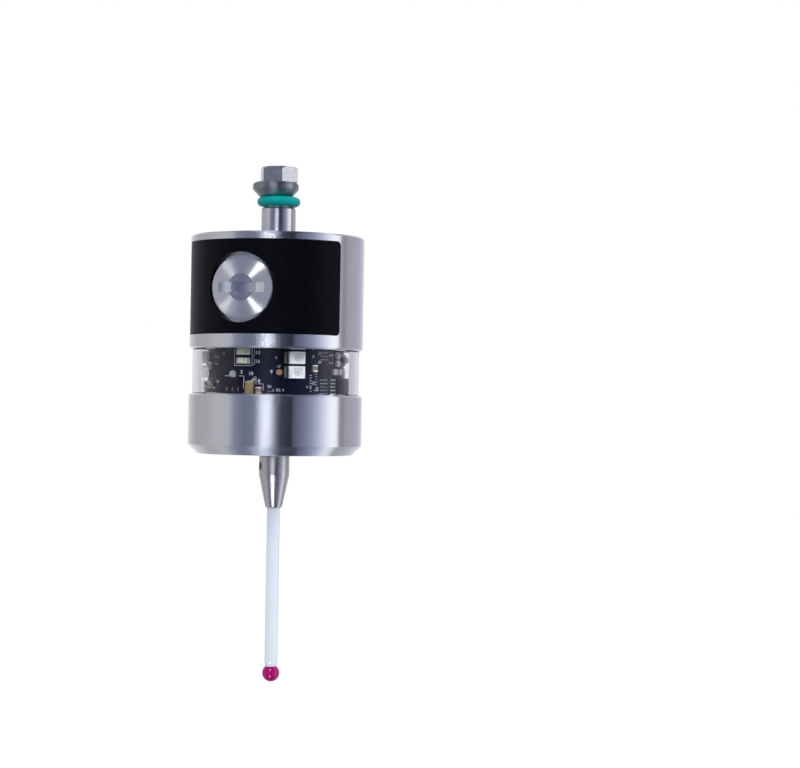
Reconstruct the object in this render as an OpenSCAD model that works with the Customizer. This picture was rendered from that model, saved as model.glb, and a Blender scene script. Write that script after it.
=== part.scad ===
// Optical touch probe for a machining centre. A stainless body in two housings holds a clear
// signal window between them, a battery lies across the upper housing behind a slotted cap, and
// a ceramic stylus with a ruby ball hangs from a three-ball kinematic seat behind the nose.
// The origin is the centre of the mounting face, and +Z points up into the machine's shank.

/* [Body] */
// Diameter of the stainless body
body_d = 40; // [39:0.5:44]
// Height of the upper housing
upper_h = 26; // [25.5:0.5:30]
// Height of the window opening between the two housings
window_h = 10.3; // [9.3:0.1:13]
// Height of the lower housing
lower_h = 13.7; // [13.5:0.1:17]
// Chamfer round the nose
nose_chamfer = 2.1; // [1:0.1:3]
// Chamfer on the other outside edges of both housings
edge_chamfer = 0.4; // [0.2:0.1:0.8]
// Wall of the lower housing round its cavity
lower_wall = 3.5; // [3:0.1:3.6]
// Thickness of the lower housing's floor
nose_floor = 2.4; // [2:0.1:3]

/* [Mounting stem] */
// Diameter of the stem that stands on the mounting face
stem_d = 8; // [7.5:0.1:9]
// Height of the stem
stem_h = 6.8; // [5:0.1:9]
// Depth of the relief round the stem's foot, outside which the shank's end face seats
relief_h = 0.4; // [0.2:0.05:0.6]
// Diameter of the stem's thread in the housing
stem_thread_d = 6; // [5:0.5:7]
// Depth of the stem's thread in the housing
stem_thread_h = 4; // [3:0.25:4.2]
// Diameter of the neck that carries the O-ring
neck_d = 5.5; // [5:0.1:6]
// Cord thickness of the green O-ring
o_ring_cord = 2.2; // [1.8:0.1:2.4]
// Diameter of the floating draw ring
draw_ring_d = 10.6; // [10:0.1:12]
// Height of the draw ring's rim
draw_rim_h = 1.15; // [0.8:0.05:1.6]
// Height of the draw ring's cone
draw_cone_h = 1.6; // [1:0.1:2.2]
// Diameter of the cone's small end
draw_small_d = 7.6; // [7:0.1:8.4]
// Bore of the draw ring, which leaves it free to float
draw_bore_d = 5.8; // [5.6:0.1:6.2]
// How far the draw ring lies off the axis
draw_offset = 0.75; // [0:0.05:0.8]
// Width of the hexagon across its flats
hex_flats = 8; // [7:0.1:8.6]
// Height of the hexagon
hex_h = 3.5; // [2.5:0.1:4.5]
// Diameter of the hexagon screw's shank
hex_shank_d = 4; // [3:0.25:4]

/* [Side cover] */
// Steel left above the cover
cover_top_margin = 1.8; // [1.5:0.1:2.6]
// Steel left below the cover
cover_bottom_margin = 3.2; // [2.5:0.1:4]
// Angle that the cover reaches to each side of the battery cap
cover_half_angle = 70.3; // [50:0.1:80]
// Thickness of the cover
cover_t = 1.1; // [0.8:0.1:1.4]
// Radius of the cover's corners
cover_corner = 0.9; // [0.5:0.1:1.5]

/* [Battery and cap] */
// Diameter of the battery
battery_d = 14.2; // [13.5:0.1:14.3]
// Length of the battery
battery_l = 25; // [23:0.25:25.5]
// Diameter of the battery cap
cap_d = 15; // [14.9:0.1:15.6]
// Length of the battery cap
cap_l = 4.6; // [4:0.1:5]
// Diameter of the flat in the middle of the cap's face
cap_flat_d = 6.2; // [5:0.1:8]
// Slope of the face from that flat to the rim
cap_slope = 8; // [2:0.5:12]
// Width of the coin slot
slot_w = 2.25; // [1.6:0.05:2.8]
// Length of the coin slot
slot_l = 11.5; // [9:0.25:12.5]
// Radius of the slotting cutter, which leaves a hollow slot floor
slot_cutter_r = 12; // [10:0.5:24]

/* [Window and circuit board] */
// Step from the body's surface in to the window
window_inset = 0.8; // [0.6:0.1:1.2]
// Wall of the window ring
window_wall = 2; // [1.6:0.1:2.1]
// Thickness of each window gasket
gasket_t = 0.4; // [0.3:0.05:0.8]
// Thickness of the wrapped circuit board
board_t = 0.8; // [0.4:0.05:1]
// Length of an infrared emitter round the board
led_w = 3.6; // [3:0.1:4]
// Height of an infrared emitter along the board
led_h = 2.75; // [2.2:0.05:2.9]
// How far an infrared emitter stands off the board
led_t = 1.3; // [1.1:0.1:1.8]
// Distance from the first emitter to the one below it
led_pitch = 3.25; // [3:0.05:3.6]
// Number of emitter pairs round the board
led_pairs = 4; // [2:1:4]

/* [Kinematic seat] */
// Radius of the circle of the three seat balls
seat_r = 10; // [9:0.25:10.2]
// Diameter of a seat ball
ball_d = 2.5; // [2:0.1:2.6]
// Diameter of a seat roller
roller_d = 1.6; // [1.2:0.1:1.8]
// Thickness of the seat ring
seat_ring_t = 1.8; // [1.4:0.1:2]
// Thickness of the carrier's arms
arm_t = 1.8; // [1.4:0.1:2]
// Width of the carrier's arms
arm_w = 3.4; // [3:0.1:4.5]
// Greatest tilt of the stylus about one side of the seat
tilt_max = 12.5; // [8:0.5:15]
// Turns of the main spring
spring_turns = 6; // [4:1:8]
// Wire diameter of the main spring
spring_wire = 0.9; // [0.6:0.1:1.1]

/* [Stylus] */
// Distance from the stylus seat down to the ball's centre
stylus_l = 50; // [40:1:75]
// How far the stylus seat stands out below the nose
seat_drop = 0.5; // [0.2:0.1:1]
// Diameter of the ruby ball
ruby_d = 4; // [3.2:0.1:6]
// Diameter of the ceramic stem
ceramic_d = 3; // [2:0.1:3.1]
// Diameter of the stylus holder
holder_d = 7; // [6:0.1:7.4]
// Length of the holder's straight part
holder_straight = 4.3; // [4:0.05:7]
// Length of the holder's taper
holder_taper = 7.3; // [5:0.1:10]
// Diameter at the foot of the taper
holder_foot_d = 3.9; // [3.8:0.1:4.5]
// Diameter of the holder's thread
holder_thread_d = 4; // [3:0.5:4]
// Diameter of the cross hole for the tightening pin
cross_hole_d = 2; // [1.2:0.1:2.4]

/* [Hidden] */
$fn = 64;
// Diametral play is twice this between a thread or a plain fit and its hole
fit = 0.03;
// Gap between faces that rest on each other
rest_gap = 0.05;
// How far a cut runs past the face that it opens
cut = 1;

// Radii and levels of the housings
body_r = body_d / 2;
window_top_z = -upper_h;
lower_top_z = window_top_z - window_h;
nose_z = lower_top_z - lower_h;
cavity_r = body_r - lower_wall;

// Window ring and circuit board, from the outside in
window_r = body_r - window_inset;
window_in_r = window_r - window_wall;
gasket_w = 1;
gasket_in_r = window_in_r + (window_wall - gasket_w) / 2;
gasket_out_r = gasket_in_r + gasket_w;
led_air = 0.2;
board_r = window_in_r - led_air - led_t;
board_in_r = board_r - board_t;
former_r = board_in_r - rest_gap;
former_wall = 2;
core_r = former_r - former_wall;
core_wall = 2;
core_in_r = core_r - core_wall;

// Levels of the kinematic seat, from the nose up
seat_ring_z = nose_z + nose_floor;
seat_top_z = seat_ring_z + seat_ring_t;
roller_sink = 0.2;
roller_z = seat_top_z - roller_sink;
ball_r = ball_d / 2;
roller_r = roller_d / 2;
contact_gap = 0.02;
contact_angle = 45;
roller_reach = ball_r + roller_r + contact_gap;
roller_side = roller_reach * sin(contact_angle);
ball_z = roller_z + roller_reach * cos(contact_angle);
arm_clear = 0.25;
arm_z = ball_z + arm_clear;
arm_top_z = arm_z + arm_t;
arm_tip_r = seat_r + arm_w / 2;
arm_lift = (seat_r / 2 + arm_tip_r) * sin(tilt_max);
lift_clear = 0.3;
core_disc_z = arm_top_z + arm_lift + lift_clear;
core_disc_t = 0.7;
core_flange_top_z = core_disc_z + core_disc_t;
core_flange_in_r = arm_tip_r + 3 * lift_clear;
core_flange_h = 3.6;
core_flange_z = core_flange_top_z - core_flange_h;

// Mounting stem, from the mounting face up
neck_r = neck_d / 2;
neck_h = 2.6;
neck_top_z = stem_h + neck_h;
o_ring_z = stem_h + neck_h / 2 + 3 * rest_gap;
o_ring_r = neck_r + rest_gap / 2 + o_ring_cord / 2;
draw_z = neck_top_z + rest_gap;
draw_edge = 0.45;
draw_rim_z = draw_z + draw_cone_h;
draw_top_z = draw_rim_z + draw_rim_h + draw_edge;
draw_angle = 204.8;
hex_z = draw_top_z + rest_gap;
hex_angle = 3.7;
hex_corner_r = hex_flats / 2 / cos(30);
hex_chamfer = 0.55;
hex_screw_l = 5;
relief_clear = 0.35;
relief_r = draw_ring_d / 2 + draw_offset + relief_clear;

// Side cover and battery, which lie about the battery cap's axis
battery_play = 0.2;
battery_bore_r = battery_d / 2 + battery_play;
bore_wall = 1.15;
cap_z = -stem_thread_h - rest_gap - bore_wall - battery_bore_r;
cover_h = upper_h - cover_top_margin - cover_bottom_margin;
cover_z = -cover_top_margin - cover_h / 2;
cover_gap = 0.12;
cover_flush = 0.1;
cover_r = body_r - cover_flush;
cover_in_r = cover_r - cover_t;
cap_r = cap_d / 2;
cap_ring_gap = 0.4;
cover_hole_r = cap_r + cap_ring_gap;
cap_sink = 0.1;
cap_rim_depth = body_r - sqrt(pow(body_r, 2) - pow(cap_r, 2)) + cap_sink;
cap_rim_y = body_r - cap_rim_depth;
cap_edge = 0.25;
cap_face_rise = (cap_r - cap_edge - cap_flat_d / 2) * tan(cap_slope);
cap_face_y = cap_rim_y + cap_face_rise;
cap_in_y = cap_rim_y - cap_l;
cap_mouth_r = cap_r + fit;
cap_end_room = 0.4;
cap_mouth_end_y = cap_in_y - cap_end_room;
cap_seal_cord = 1;
cap_groove_w = 1.4;
cap_groove_set = 1.3;
cap_groove_y = cap_rim_y - cap_groove_set;
cap_groove_r = cap_r - cap_seal_cord - rest_gap;
cap_pocket_r = 4.6;
cap_pocket_h = 1.9;
contact_room = 2.2;
battery_y = cap_in_y - contact_room / 2;
battery_end_y = battery_y - battery_l;
contact_plate_t = 0.8;
battery_bore_end_y = battery_end_y - contact_room - contact_plate_t;
contact_wire = 0.5;

// The core's seat in the upper housing, and the pocket there for the board's upper edge
core_socket_wall = 1.2;
core_socket_z = cap_z - battery_bore_r - core_socket_wall;
core_end_gap = 0.2;
core_top_z = core_socket_z - core_end_gap;
board_pocket_h = 1.8;
board_edge_gap = 0.1;
board_top_z = window_top_z + board_pocket_h - board_edge_gap;
board_z = core_flange_top_z + board_edge_gap;
board_h = board_top_z - board_z;

// Infrared emitters and the other parts on the board, as angles from the battery cap
cap_angle = -90;
led_angle = 40;
led_step_angle = 360 / led_pairs;
led_drop = 2.05;
seam_angle = 210;
fine_fn = 256;
led_z = window_top_z - led_drop;

// Stylus
ruby_r = ruby_d / 2;
stylus_z = nose_z - seat_drop;
ruby_z = stylus_z - stylus_l;
ceramic_r = ceramic_d / 2;
ceramic_seat_share = 0.77;
ceramic_end_z = ruby_z + ruby_r * ceramic_seat_share;
ceramic_nip = 0.22;
ceramic_nip_h = 0.9;
holder_r = holder_d / 2;
holder_straight_z = stylus_z - holder_straight;
holder_taper_z = holder_straight_z - holder_taper;
holder_lip = 0.3;
holder_z = holder_taper_z - holder_lip;
ceramic_socket_h = 6;
cross_hole_drop = 2.3;
cross_hole_z = stylus_z - cross_hole_drop;
cross_hole_angle = -47;
thread_r = holder_thread_d / 2;
thread_l = 5;
carrier_neck_r = holder_r;

// Nose ring, diaphragm and dust shield
nose_ring_r = 12.6;
nose_ring_t = 1.2;
nose_open_r = 8.7;
nose_screw_r = 10.6;
nose_screw_d = 1.6;
nose_screw_angle = 30;
floor_open_r = 8.9;
diaphragm_t = 0.4;
diaphragm_web_r = floor_open_r - 2 * diaphragm_t;
diaphragm_rim_r = nose_screw_r - nose_screw_d / 2 - 4 * rest_gap;
shield_r = 6.6;
shield_t = 0.5;
shield_drop = 0.7;

STEEL = [0.74, 0.74, 0.76];
BRIGHT = [0.84, 0.84, 0.86];
BLACK = [0.07, 0.07, 0.09];
RUBBER = [0.05, 0.05, 0.05];
GREEN = [0.02, 0.58, 0.53];
NAVY = [0.07, 0.07, 0.16];
WHITE = [0.9, 0.9, 0.92];
TAN = [0.6, 0.48, 0.3];
BRONZE = [0.75, 0.58, 0.3];
RUBY = [0.75, 0.05, 0.4];
CLEAR = [0.85, 0.88, 0.92, 0.35];

// Puts its children on the battery cap's axis: their +Z runs outwards along it.
module on_cap_axis() {
    translate([0, 0, cap_z])
        rotate([90, 0, 0])
            children();
}

// A ring about +Z from z upwards, h high, between two radii.
module ring(r_in, r_out, z, h) {
    translate([0, 0, z])
        difference() {
            cylinder(h = h, r = r_out);
            translate([0, 0, -cut])
                cylinder(h = h + 2 * cut, r = r_in);
        }
}

// A turned disc from z upwards, h high, with a chamfer at its lower and upper edge.
module turned(r, z, h, low, high) {
    rotate_extrude()
        polygon([
            [0, z], [r - low, z], [r, z + low], [r, z + h - high], [r - high, z + h], [0, z + h]
        ]);
}

// A rectangle w by h about the origin, with true arcs of radius r at its corners.
module rounded_rectangle(w, h, r) {
    square([w - 2 * r, h], center = true);
    square([w, h - 2 * r], center = true);
    for (x = [-1, 1], y = [-1, 1])
        translate([x * (w / 2 - r), y * (h / 2 - r)])
            circle(r = r);
}

// The space of the side cover: its outline wrapped round the body, grown by a gap.
module cover_outline(gap) {
    h = cover_h + 2 * gap;
    corner = cover_corner + gap;
    flank_angle = cover_half_angle - asin(corner / body_r);
    flank_w = body_r;
    middle_w = 2 * body_r * sin(flank_angle / 2);
    translate([0, 0, cover_z]) {
        rotate([90, 0, 0])
            linear_extrude(height = 2 * body_r)
                square([middle_w, h], center = true);
        for (side = [-1, 1])
            rotate([0, 0, side * flank_angle])
                rotate([90, 0, 0])
                    linear_extrude(height = 2 * body_r)
                        translate([side * (cover_corner + gap - flank_w / 2), 0])
                            rounded_rectangle(flank_w, h, corner);
    }
}

module upper_housing() {
    color(STEEL)
        difference() {
            turned(body_r, window_top_z, upper_h, edge_chamfer, edge_chamfer);
            difference() {
                cover_outline(cover_gap);
                cylinder(h = 3 * upper_h, r = cover_in_r - rest_gap, center = true);
            }
            on_cap_axis() {
                translate([0, 0, battery_bore_end_y])
                    cylinder(h = 2 * body_r, r = battery_bore_r);
                translate([0, 0, cap_mouth_end_y])
                    cylinder(h = body_r, r = cap_mouth_r);
            }
            // Relief round the stem's foot, wide enough for what passes over the draw ring
            ring(stem_d / 2, relief_r, -relief_h, relief_h + cut);
            // Threaded hole for the mounting stem
            translate([0, 0, -stem_thread_h - rest_gap])
                cylinder(h = stem_thread_h + cut, r = stem_thread_d / 2 + fit);
            // Threaded socket for the core tube
            translate([0, 0, window_top_z - cut])
                cylinder(h = core_socket_z - window_top_z + cut, r = core_r + fit);
            // Pocket for the upper edge of the board and what stands on it
            translate([0, 0, window_top_z - cut])
                cylinder(h = board_pocket_h + cut, r = window_in_r);
            // Groove for the upper window gasket
            ring(
                gasket_in_r - fit, gasket_out_r + fit, window_top_z - cut,
                cut + gasket_t + rest_gap
            );
            // Wire way from the battery's rear contact to the core
            translate([0, core_in_r - 2 * contact_room, core_socket_z - cut])
                cylinder(h = cap_z - core_socket_z + cut, r = contact_room / 2);
        }
}

module side_cover() {
    color(BLACK)
        intersection() {
            cover_outline(0);
            difference() {
                ring(cover_in_r, cover_r, -upper_h, upper_h);
                on_cap_axis()
                    cylinder(h = 2 * body_r, r = cover_hole_r);
            }
        }
}

module mounting_stem() {
    bottom_edge = 0.3;
    color(BRIGHT)
        difference() {
            rotate_extrude()
                polygon([
                    [0, -stem_thread_h],
                    [stem_thread_d / 2 - bottom_edge, -stem_thread_h],
                    [stem_thread_d / 2, -stem_thread_h + bottom_edge],
                    [stem_thread_d / 2, 0],
                    [stem_d / 2, 0],
                    [stem_d / 2, stem_h - bottom_edge],
                    [stem_d / 2 - bottom_edge, stem_h],
                    [neck_r, stem_h],
                    [neck_r, neck_top_z],
                    [0, neck_top_z]
                ]);
            translate([0, 0, neck_top_z - hex_screw_l - rest_gap])
                cylinder(h = hex_screw_l + cut, r = hex_shank_d / 2 + fit);
        }
}

module draw_ring() {
    color(STEEL)
        rotate([0, 0, draw_angle])
            translate([draw_offset, 0, 0])
                rotate_extrude()
                    polygon([
                        [draw_bore_d / 2, draw_z],
                        [draw_small_d / 2, draw_z],
                        [draw_ring_d / 2, draw_rim_z],
                        [draw_ring_d / 2, draw_rim_z + draw_rim_h],
                        [draw_ring_d / 2 - draw_edge, draw_top_z],
                        [draw_bore_d / 2, draw_top_z]
                    ]);
}

module hex_screw() {
    color(BRIGHT) {
        intersection() {
            translate([0, 0, hex_z])
                rotate([0, 0, hex_angle])
                    cylinder(h = hex_h, r = hex_corner_r, $fn = 6);
            turned(hex_corner_r, hex_z, hex_h, 0, hex_chamfer);
        }
        translate([0, 0, neck_top_z - hex_screw_l])
            cylinder(h = hex_z - neck_top_z + hex_screw_l, r = hex_shank_d / 2);
    }
}

module o_ring(r, cord) {
    rotate_extrude()
        translate([r, 0])
            circle(d = cord);
}

module stem_o_ring() {
    color(GREEN)
        translate([0, 0, o_ring_z])
            o_ring(o_ring_r, o_ring_cord);
}

module battery() {
    pip_h = 0.8;
    pip_r = 2.8;
    edge = 0.5;
    shoulder_y = battery_y - pip_h;
    r = battery_d / 2;
    color(GREEN)
        on_cap_axis()
            rotate_extrude()
                polygon([
                    [0, battery_end_y],
                    [r - edge, battery_end_y],
                    [r, battery_end_y + edge],
                    [r, shoulder_y - edge],
                    [r - edge, shoulder_y],
                    [pip_r, shoulder_y],
                    [pip_r, battery_y],
                    [0, battery_y]
                ]);
}

// A coil of round wire about +Z, from z upwards, that may narrow from r_low to r_high.
module coil(r_low, r_high, z, h, wire, turns, steps, sides) {
    rings = turns * steps;
    rise = h - wire;
    points = [
        for (i = [0:rings], k = [0:sides - 1])
            let (
                share = i / rings,
                turn = 360 * i / steps,
                r = r_low + (r_high - r_low) * share + wire / 2 * cos(360 * k / sides),
                up = wire / 2 * sin(360 * k / sides)
            )
            [r * cos(turn), r * sin(turn), z + wire / 2 + rise * share + up]
    ];
    walls = [
        for (i = [0:rings - 1], k = [0:sides - 1])
            let (a = i * sides, next = (k + 1) % sides)
            [a + k, a + sides + k, a + sides + next, a + next]
    ];
    ends = [
        [for (k = [0:sides - 1]) k],
        [for (k = [sides - 1:-1:0]) rings * sides + k]
    ];
    polyhedron(points = points, faces = concat(walls, ends), convexity = 4);
}

module battery_contact_spring() {
    color(BRONZE)
        on_cap_axis()
            coil(
                cap_pocket_r - contact_wire, cap_pocket_r / 2,
                battery_bore_end_y + contact_plate_t + rest_gap,
                contact_room - 2 * rest_gap, contact_wire, 3, 16, 6
            );
}

module battery_contact_plate() {
    color(BRONZE)
        on_cap_axis()
            translate([0, 0, battery_bore_end_y])
                cylinder(h = contact_plate_t, r = battery_bore_r - rest_gap);
}

module battery_cap() {
    rim_back = cap_rim_y - cap_edge;
    color(STEEL)
        on_cap_axis()
            difference() {
                rotate_extrude()
                    polygon([
                        [0, cap_in_y],
                        [cap_r - cap_edge, cap_in_y],
                        [cap_r, cap_in_y + cap_edge],
                        [cap_r, cap_groove_y - cap_groove_w],
                        [cap_groove_r, cap_groove_y - cap_groove_w],
                        [cap_groove_r, cap_groove_y],
                        [cap_r, cap_groove_y],
                        [cap_r, rim_back],
                        [cap_r - cap_edge, cap_rim_y],
                        [cap_flat_d / 2, cap_face_y],
                        [0, cap_face_y]
                    ]);
                // Pocket for the contact spring
                translate([0, 0, cap_in_y - cut])
                    cylinder(h = cap_pocket_h + cut, r = cap_pocket_r);
                // Coin slot, as a slotting cutter leaves it
                slot_end_drop = (slot_l - cap_flat_d) / 2 * tan(cap_slope);
                cutter_rise = sqrt(pow(slot_cutter_r, 2) - pow(slot_l / 2, 2));
                translate([0, 0, cap_face_y - slot_end_drop + cutter_rise])
                    rotate([90, 0, 0])
                        cylinder(h = slot_w, r = slot_cutter_r, center = true, $fn = 128);
            }
}

module cap_seal_ring() {
    color(RUBBER)
        on_cap_axis()
            translate([0, 0, cap_groove_y - cap_groove_w / 2])
                o_ring(cap_groove_r + contact_gap + cap_seal_cord / 2, cap_seal_cord);
}

module cap_contact_spring() {
    color(BRONZE)
        on_cap_axis()
            coil(
                cap_pocket_r / 2, cap_pocket_r - contact_wire,
                battery_y + rest_gap,
                cap_in_y + cap_pocket_h - battery_y - 2 * rest_gap, contact_wire, 3, 16, 6
            );
}

module window_ring() {
    polish = 0.15;
    low = lower_top_z + rest_gap;
    high = window_top_z - rest_gap;
    color(CLEAR)
        rotate_extrude()
            polygon([
                [window_in_r, low],
                [window_r - polish, low],
                [window_r, low + polish],
                [window_r, high - polish],
                [window_r - polish, high],
                [window_in_r, high]
            ]);
}

module upper_window_gasket() {
    color(RUBBER)
        ring(gasket_in_r, gasket_out_r, window_top_z, gasket_t);
}

module lower_window_gasket() {
    color(RUBBER)
        ring(gasket_in_r, gasket_out_r, lower_top_z - gasket_t, gasket_t);
}

module core_tube() {
    color(BRIGHT)
        rotate_extrude()
            polygon([
                [core_flange_in_r, core_flange_z],
                [cavity_r - fit, core_flange_z],
                [cavity_r - fit, core_flange_top_z],
                [core_r, core_flange_top_z],
                [core_r, core_top_z],
                [core_in_r, core_top_z],
                [core_in_r, core_disc_z],
                [core_flange_in_r, core_disc_z]
            ]);
}

module board_former() {
    rib = 1.2;
    color(BLACK)
        difference() {
            ring(core_r + fit, former_r, board_z, board_h);
            // Lightening grooves round the inside
            for (z = [board_z + 2 * rib : 3 * rib : board_z + board_h - 3 * rib])
                ring(core_r, core_r + former_wall / 2, z, 2 * rib);
        }
}

module circuit_board() {
    seam = 0.8;
    color(NAVY)
        difference() {
            ring(board_in_r, board_r, board_z, board_h);
            // The wrapped board's two ends meet at a seam behind the body
            rotate([0, 0, cap_angle + seam_angle])
                translate([board_r - 2 * board_t, -seam / 2, board_z - cut])
                    cube([4 * board_t, seam, board_h + 2 * cut]);
        }
}

// Puts its children on the board's surface: +X points outwards, +Y round the board, +Z up.
module on_board(turn, z) {
    rotate([0, 0, cap_angle + turn])
        translate([board_r, 0, z])
            children();
}

// A block that stands t off the board, w round it and h up it, seated on the curved surface.
module board_block(turn, z, w, h, t) {
    seat = pow(w, 2) / 8 / board_r + rest_gap;
    difference() {
        on_board(turn, z)
            translate([-seat, -w / 2, -h / 2])
                cube([t + seat, w, h]);
        cylinder(h = 4 * upper_h, r = board_r + contact_gap, center = true, $fn = fine_fn);
    }
}

// An emitter: a moulded case with one cut corner, a lead at each end and a lens well.
module emitter(turn, z) {
    lead_w = 0.35;
    lead_t = 0.9;
    lead_h_share = 0.75;
    well_d = 2.3;
    well_floor_d = 1.5;
    well_h = 0.9;
    corner = 0.6;
    difference() {
        union() {
            board_block(turn, z, led_w, led_h, led_t);
            board_block(turn, z, led_w + 2 * lead_w, led_h * lead_h_share, lead_t);
        }
        on_board(turn, z) {
            translate([led_t - well_h, 0, 0])
                rotate([0, 90, 0])
                    cylinder(h = well_h + rest_gap, d1 = well_floor_d, d2 = well_d, $fn = 32);
            translate([lead_t + rest_gap, -led_w / 2, led_h / 2])
                rotate([45, 0, 0])
                    translate([0, -corner, -corner])
                        cube([2 * led_t, 2 * corner, 2 * corner]);
        }
    }
}

module infrared_emitters() {
    color(WHITE)
        for (i = [0:led_pairs - 1], k = [0:1])
            emitter(led_angle + led_step_angle * i, led_z - led_pitch * k);
}

// Status lamps under the cap: two small lamps one above the other.
lamp_w = 3.2;
lamp_h = 1.35;
lamp_t = 0.8;
lamp_angle = -0.8;
lamp_drop = 0.85;
lamp_pitch = 2;

module status_lamps() {
    color(WHITE)
        for (k = [0:1])
            board_block(lamp_angle, window_top_z - lamp_drop - lamp_pitch * k, lamp_w, lamp_h, lamp_t);
}

// Regulators with three leads below and a wide tab above.
regulator_w = 4.4;
regulator_h = 2.1;
regulator_t = 1.2;
regulator_angles = [-10.4, 148];
regulator_place_share = 0.7;
regulator_lead_pitch = 1.5;
regulator_tab_w = 1.8;
regulator_tab_h = 1.7;

module regulator_chips() {
    lead_w = 0.45;
    lead_t = 0.3;
    z = board_top_z - board_h * regulator_place_share;
    color(BLACK)
        for (turn = regulator_angles) {
            board_block(turn, z, regulator_w, regulator_h, regulator_t);
            for (k = [-1:1])
                board_block(
                    turn + asin(k * regulator_lead_pitch / board_r),
                    z - regulator_h / 2 - lead_w, lead_w, 2 * lead_w + rest_gap, lead_t
                );
            board_block(
                turn, z + (regulator_h + regulator_tab_h) / 2,
                regulator_tab_w, regulator_tab_h + rest_gap, lead_t
            );
        }
}

// Larger chips with a row of leads down each side.
chip_w = 7;
chip_h = 4;
chip_t = 1;
chip_angles = [88.5, 180, 265];
chip_place_share = 0.75;
chip_leads = 5;
chip_lead_pitch = 0.78;

module signal_chips() {
    lead_l = 0.9;
    lead_w = 0.35;
    lead_t = 0.4;
    z = board_top_z - board_h * chip_place_share;
    color(BLACK)
        for (turn = chip_angles) {
            board_block(turn, z, chip_w, chip_h, chip_t);
            for (side = [-1, 1], k = [0:chip_leads - 1])
                board_block(
                    turn + side * asin((chip_w + lead_l) / 2 / board_r),
                    z + (k - (chip_leads - 1) / 2) * chip_lead_pitch,
                    lead_l + rest_gap, lead_w, lead_t
                );
        }
}

// Each entry is the angle from the battery cap, and the share of the board's height that the
// part's middle lies below the board's top edge.
tantalum_place_shares = [
    [5.6, 0.77], [115, 0.77], [203, 0.77], [292, 0.77]
];
capacitor_place_shares = [
    [12.3, 0.83], [58.5, 0.45], [-36.5, 0.42], [-36.5, 0.75], [66, 0.24], [66, 0.44], [82, 0.27],
    [90, 0.27], [98, 0.27], [60, 0.76], [160, 0.3], [168, 0.3], [180, 0.3], [192, 0.3], [240, 0.3],
    [252, 0.3], [265, 0.3], [278, 0.3], [290, 0.35], [-52, 0.81]
];
resistor_place_shares = [
    [-28, 0.27], [-28, 0.39], [74, 0.22], [74, 0.35], [107, 0.24], [107, 0.36], [52, 0.76],
    [160, 0.47], [174, 0.45], [186, 0.45], [240, 0.47], [252, 0.47], [290, 0.53], [25, 0.82],
    [30, 0.82], [-60, 0.79]
];
tantalum_w = 1.7;
tantalum_h = 3.2;
tantalum_t = 1.3;
capacitor_w = 1.3;
capacitor_h = 1.6;
capacitor_t = 0.8;
resistor_w = 1;
resistor_h = 0.55;
resistor_t = 0.35;

module tantalum_capacitors() {
    color(TAN)
        for (place = tantalum_place_shares)
            board_block(place[0], board_top_z - board_h * place[1], tantalum_w, tantalum_h, tantalum_t);
}

module chip_capacitors() {
    color(TAN)
        for (place = capacitor_place_shares)
            board_block(place[0], board_top_z - board_h * place[1], capacitor_w, capacitor_h, capacitor_t);
}

module chip_resistors() {
    color(BLACK)
        for (place = resistor_place_shares)
            board_block(place[0], board_top_z - board_h * place[1], resistor_w, resistor_h, resistor_t);
}

// The round processor board lies across the core tube, on a ledge of glue.
processor_board_t = 1;
processor_board_drop = 3.4;
processor_board_z = core_top_z - processor_board_drop;
processor_chip_w = 7;
processor_chip_t = 1;

module processor_board() {
    color(NAVY)
        translate([0, 0, processor_board_z])
            cylinder(h = processor_board_t, r = core_in_r - rest_gap);
}

module processor_chip() {
    color(BLACK)
        translate([
            -processor_chip_w / 2, -processor_chip_w / 2,
            processor_board_z + processor_board_t + rest_gap / 2
        ])
            cube([processor_chip_w, processor_chip_w, processor_chip_t]);
}

module lower_housing() {
    color(STEEL)
        difference() {
            turned(body_r, nose_z, lower_h, nose_chamfer, edge_chamfer);
            // Cavity of the seat, and its wider mouth round the board
            translate([0, 0, seat_ring_z])
                cylinder(h = lower_h, r = cavity_r);
            translate([0, 0, core_flange_top_z])
                cylinder(h = lower_h, r = window_in_r);
            // Groove for the lower window gasket
            ring(
                gasket_in_r - fit, gasket_out_r + fit, lower_top_z - gasket_t - rest_gap,
                gasket_t + rest_gap + cut
            );
            // Opening for the stylus, and the seat of the nose ring
            translate([0, 0, nose_z - cut])
                cylinder(h = lower_h, r = floor_open_r);
            translate([0, 0, nose_z - cut])
                cylinder(h = nose_ring_t + cut, r = nose_ring_r + fit);
            // Recess that holds the rim of the diaphragm
            translate([0, 0, nose_z - cut])
                cylinder(
                    h = cut + nose_ring_t + diaphragm_t + 2 * rest_gap,
                    r = diaphragm_rim_r + fit
                );
            for (i = [0:2])
                rotate([0, 0, nose_screw_angle + 120 * i])
                    translate([nose_screw_r, 0, nose_z - cut])
                        cylinder(h = nose_floor + cut - rest_gap, d = nose_screw_d + 2 * fit);
        }
}

// Puts its children at each of the three seat balls: +X points outwards.
module at_seats() {
    for (i = [0:2])
        rotate([0, 0, 90 + 120 * i])
            translate([seat_r, 0, 0])
                children();
}

// One roller of a pair, lying along the radius beside a seat ball.
module roller(side, gap) {
    roller_l = arm_w;
    translate([-roller_l / 2 - gap, side * roller_side, roller_z])
        rotate([0, 90, 0])
            cylinder(h = roller_l + 2 * gap, r = roller_r + gap);
}

module seat_ring() {
    color(BRIGHT)
        difference() {
            ring(diaphragm_web_r, cavity_r - fit, seat_ring_z, seat_ring_t);
            at_seats()
                for (side = [-1, 1])
                    roller(side, fit);
        }
}

module seat_rollers() {
    color(STEEL)
        at_seats()
            for (side = [-1, 1])
                roller(side, 0);
}

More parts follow.
